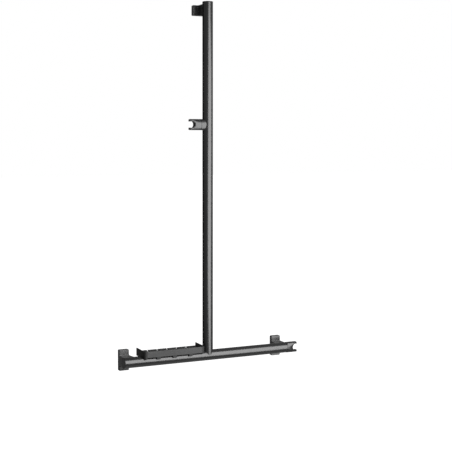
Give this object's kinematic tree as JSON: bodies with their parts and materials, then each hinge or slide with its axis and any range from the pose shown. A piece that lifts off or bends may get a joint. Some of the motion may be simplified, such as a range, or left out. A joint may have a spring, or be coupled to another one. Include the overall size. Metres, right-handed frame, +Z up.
{
  "type": "shower grab bar",
  "caption": "T-shaped wall grab bar for a shower, with a sliding hand-shower holder on the vertical rail, an end holder and a clip-on shelf with hooks on the horizontal rail.",
  "frame": {"origin": "on the wall plane, in the middle of the four screw holes of the two lower wall plates, straight behind the crossing of the two rail axes", "axes": "+X to the right along the horizontal rail, +Y into the wall, +Z up along the vertical rail"},
  "size_m": [0.5825, 0.0705, 1.1065],
  "materials": {
    "satin_black_metal": "satin black powder coating on aluminium",
    "matt_black_plastic": "matt black moulded plastic",
    "steel": "bright stainless steel",
    "zinc": "zinc-plated pressed steel",
    "slip_plastic": "natural acetal"
  },
  "bodies": {
    "bar": {"horizontal_rail": "satin_black_metal", "vertical_rail": "satin_black_metal", "left_end_plug": "matt_black_plastic", "right_end_plug": "matt_black_plastic", "top_cap": "matt_black_plastic", "tee_saddle": "satin_black_metal", "tee_nut": "steel", "tee_screw": "steel", "tee_grub_screw": "steel", "bracket_left": "satin_black_metal", "bracket_right": "satin_black_metal", "bracket_top": "satin_black_metal", "wall_plate_left": "zinc", "wall_plate_right": "zinc", "wall_plate_top": "zinc", "neck_screws": "steel", "foot_screws": "steel", "end_axle_screw": "steel", "end_disc_springs": "steel", "end_friction_ring": "slip_plastic", "shelf_tray": "matt_black_plastic", "shelf_side_left": "matt_black_plastic", "shelf_side_right": "matt_black_plastic", "shelf_hook_left": "matt_black_plastic", "shelf_hook_middle": "matt_black_plastic", "shelf_hook_right": "matt_black_plastic", "shelf_screws": "steel"},
    "slider": {"slider_base": "satin_black_metal", "slider_glide_pad": "slip_plastic", "slider_t_nut": "zinc", "slider_axle_screw": "steel", "slider_disc_springs": "steel", "slider_friction_ring": "slip_plastic"},
    "slider_socket_body": {"slider_socket": "matt_black_plastic"},
    "end_socket_body": {"end_socket": "matt_black_plastic"}
  },
  "joints": [
    {"name": "slider_slide", "type": "slide", "parent": "bar", "child": "slider", "axis": [0, 0, 1], "range_m": [-0.65, 0.3]},
    {"name": "slider_socket_tilt", "type": "hinge", "parent": "slider", "child": "slider_socket_body", "pos_m": [-0.0251, -0.05, 0.7045], "axis": [1, 0, 0], "range_deg": [-90, 90]},
    {"name": "end_socket_tilt", "type": "hinge", "parent": "bar", "child": "end_socket_body", "pos_m": [0.27365, -0.05, 0], "axis": [1, 0, 0], "range_deg": [-90, 90]}
  ]
}
